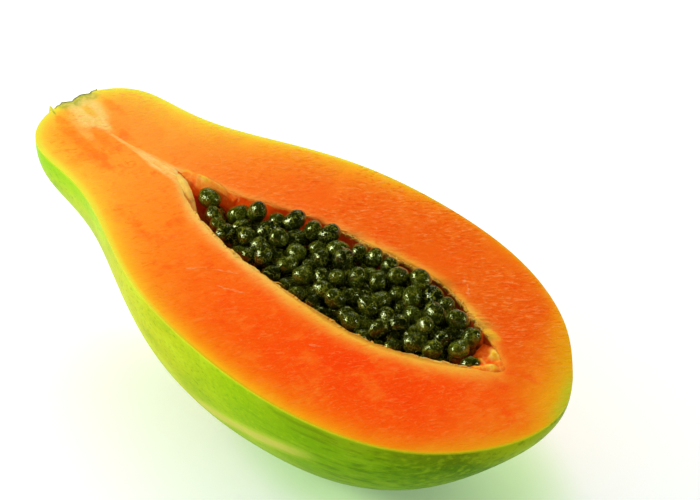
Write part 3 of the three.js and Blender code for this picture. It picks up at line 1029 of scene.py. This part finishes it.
# ---- The rim shreds ------------------------------------------------------------------------------
# The torn edge of the cavity's pale lining, an uneven lip along both rims, with short shreds beside it
# where the knife pulled. Each shred is a small thread, half sunk in the rim it grew from.
LIP_ENDS = {-1: (0.24, 0.86), 1: (0.46, 0.77)}
LIP_STATIONS = 90
LIP_RADIUS = 0.62
LIP_SWELL = 0.9
LIP_TAPER = (0.3, 4.0)
LIP_SPREAD = 0.80
LIP_INSET = 0.15
LIP_SUNK = (0.1, 0.85)
LIP_UNEVEN = 0.37
LIP_PALENESS = 0.75
SHREDS = 60
SHRED_DRAW = 7
SHRED_ENDS = {1: (0.36, 0.80), -1: (0.26, 0.90)}
SHRED_LENGTHS = (1.0, 4.0)
SHRED_RADII = (0.14, 0.34)
SHRED_SHAPE = [(-1.0, 0.6), (-0.4, 1.0), (0.4, 0.9), (1.0, 0.5)]
SHRED_SINK = 0.45
SHRED_END_DROP = 1.4
SHRED_SPREAD = 0.5
SHRED_TURN = 0.9
SHRED_PALENESS = (0.3, 1.0)


def shred_stations(chance):
    """A bent thread lying along one rim, sunk at both ends."""
    side = 1 if chance() < 0.5 else -1
    share = between(SHRED_ENDS[side], chance())
    length = between(SHRED_LENGTHS, chance() ** 2)
    radius = between(SHRED_RADII, chance())
    spot = wall_point(share, side, 0) + Vector((0, side * SHRED_SPREAD * (2 * chance() - 1), 0))
    along = (wall_point(share + 0.01, side, 0) - wall_point(share - 0.01, side, 0)).normalized()
    along = Matrix.Rotation(SHRED_TURN * (2 * chance() - 1), 3, "Z") @ along * length / 2
    end = Vector((0, 0, -radius * SHRED_END_DROP - SHRED_SINK))
    bend = Vector((0, side * radius * (2 * chance() - 1), -SHRED_SINK * chance()))
    return [
        (*(spot + along * where + (end if abs(where) == 1 else bend)), radius * thick)
        for where, thick in SHRED_SHAPE
    ]


def lip_stations(side, ends, chance):
    """The torn edge of the lining, standing a little inside one rim."""
    stations = []
    for k in range(LIP_STATIONS + 1):
        share = between(ends, k / LIP_STATIONS)
        taper = min(1, LIP_TAPER[0] + LIP_TAPER[1] * math.sin(math.pi * k / LIP_STATIONS))
        uneven = noise.noise_vector((k * LIP_UNEVEN, side * 5, chance() * 0.5))
        thick = LIP_RADIUS * (1 + LIP_SWELL * uneven.x) * taper
        inset = LIP_SPREAD * uneven.y + LIP_INSET
        sunk = LIP_SUNK[0] + LIP_SUNK[1] * thick
        spot = wall_point(share, side, 0) + Vector((0, side * inset, -sunk))
        stations.append((*spot, thick))
    return stations


shred_mesh = bmesh.new()
paleness = shred_mesh.verts.layers.float.new("paleness")
lining = shred_mesh.verts.layers.float.new("lining")
shred_chance = chances(SHRED_DRAW)
for _ in range(SHREDS):
    pale = between(SHRED_PALENESS, shred_chance())
    for vert in strand(shred_mesh, shred_stations(shred_chance)):
        vert[paleness] = pale
for side, ends in LIP_ENDS.items():
    for vert in strand(shred_mesh, lip_stations(side, ends, shred_chance)):
        vert[paleness] = LIP_PALENESS
        vert[lining] = 1.0
shreds = set_in_frame(shred_mesh, "rim_shreds", thread_finish)
round_off(shreds, 1)
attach(shreds, "root")

# ---- The table, the light and the camera ---------------------------------------------------------
# A white table top under soft windows on the left, on the right and behind, and a long lens that looks
# down on the cut face from beside the blossom end. A green shadow under the belly is painted on the table.
TABLE_REACH = 4.0
TABLE_GLOW = 0.10
BELLY_SHADOW_MIDDLE = (128.0, 2.0)
BELLY_SHADOW_REACH = (54.0, 35.0)
ROOM_STRENGTH = 0.60
table_mesh = bmesh.new()
bmesh.ops.create_grid(table_mesh, x_segments=1, y_segments=1, size=TABLE_REACH)


def table_surface(graph):
    place, (x, y, _) = fruit_place(graph)
    along = (x - BELLY_SHADOW_MIDDLE[0]) / BELLY_SHADOW_REACH[0]
    across = (y - BELLY_SHADOW_MIDDLE[1]) / BELLY_SHADOW_REACH[1]
    # A painted green shadow: the table is darker and greener in an oval under the belly.
    painted_belly_shadow = (along * along + across * across).fade(1.35, 0.35)
    colour = mixed(cloud(place, 60.0), paint(246, 251, 250), paint(249, 253, 252))
    colour = mixed(painted_belly_shadow, colour, paint(208, 242, 178))
    return {
        "Base Color": colour, "Roughness": 0.6, "Specular IOR Level": 0.1,
        "Emission Color": (1.0, 1.0, 1.0, 1.0), "Emission Strength": TABLE_GLOW,
    }


table_data = bpy.data.meshes.new("table_top")
table_mesh.to_mesh(table_data)
table_mesh.free()
table_data.materials.append(finished("white_table", table_surface))
table = in_scene("table_top", table_data)

LOOK_AT = FRUIT_TO_FRAME @ Vector((99.0, 0.0, 0.0))
CAMERA_ELEVATION = math.radians(38.5)
CAMERA_AZIMUTH = math.radians(45.23)
CAMERA_ROLL = math.radians(1.72)
CAMERA_DISTANCE = 1.128
CAMERA_LENS = 221.2
AIM_RIGHT = 0.00724
AIM_UP = 0.00543

toward_camera = Vector((
    math.cos(CAMERA_ELEVATION) * math.sin(CAMERA_AZIMUTH),
    -math.cos(CAMERA_ELEVATION) * math.cos(CAMERA_AZIMUTH),
    math.sin(CAMERA_ELEVATION),
))
level_right = Vector((math.cos(CAMERA_AZIMUTH), math.sin(CAMERA_AZIMUTH), 0))
level_up = toward_camera.cross(level_right)
picture_right = level_right * math.cos(CAMERA_ROLL) + level_up * math.sin(CAMERA_ROLL)
picture_up = level_up * math.cos(CAMERA_ROLL) - level_right * math.sin(CAMERA_ROLL)
camera_at = LOOK_AT + toward_camera * CAMERA_DISTANCE
aim_at = LOOK_AT + picture_right * AIM_RIGHT + picture_up * AIM_UP
backward = (camera_at - aim_at).normalized()
right = picture_up.cross(backward).normalized()
up = backward.cross(right)

camera_data = bpy.data.cameras.new("camera")
camera_data.lens = CAMERA_LENS
camera_data.clip_start = 0.01
camera = in_scene("camera", camera_data)
camera.matrix_world = Matrix.Translation(camera_at) @ Matrix((right, up, backward)).transposed().to_4x4()
bpy.context.scene.camera = camera

level_back = Vector((0, 0, 1)).cross(level_right)
WINDOWS = (
    ("left_window", -0.80, -0.09, 0.42, 0.20, 0.20, 5.6, True),
    ("right_window", 0.78, -0.18, 0.27, 0.08, 0.08, 0.8, True),
    ("back_window", 0.05, 0.88, 0.50, 1.10, 0.36, 7.4, False),
    ("back_gap", 0.10, 0.86, 0.56, 0.50, 0.05, 0.6, True),
)
for name, to_right, to_back, height, width, depth, power, mirrored in WINDOWS:
    lamp = bpy.data.lights.new(name, "AREA")
    lamp.shape = "RECTANGLE"
    lamp.size, lamp.size_y, lamp.energy = width, depth, power
    window = in_scene(name, lamp)
    window.visible_glossy = mirrored
    spot = LOOK_AT + level_right * to_right + level_back * to_back + Vector((0, 0, height))
    turned = (spot - LOOK_AT).to_track_quat("Z", "Y").to_matrix().to_4x4()
    window.matrix_world = Matrix.Translation(spot) @ turned

world = bpy.data.worlds.new("bright_room")
world.use_nodes = True
world.node_tree.nodes["Background"].inputs["Color"].default_value = (1, 1, 1, 1)
world.node_tree.nodes["Background"].inputs["Strength"].default_value = ROOM_STRENGTH
world.cycles_visibility.glossy = False
bpy.context.scene.world = world
bpy.context.scene.view_settings.view_transform = "Standard"
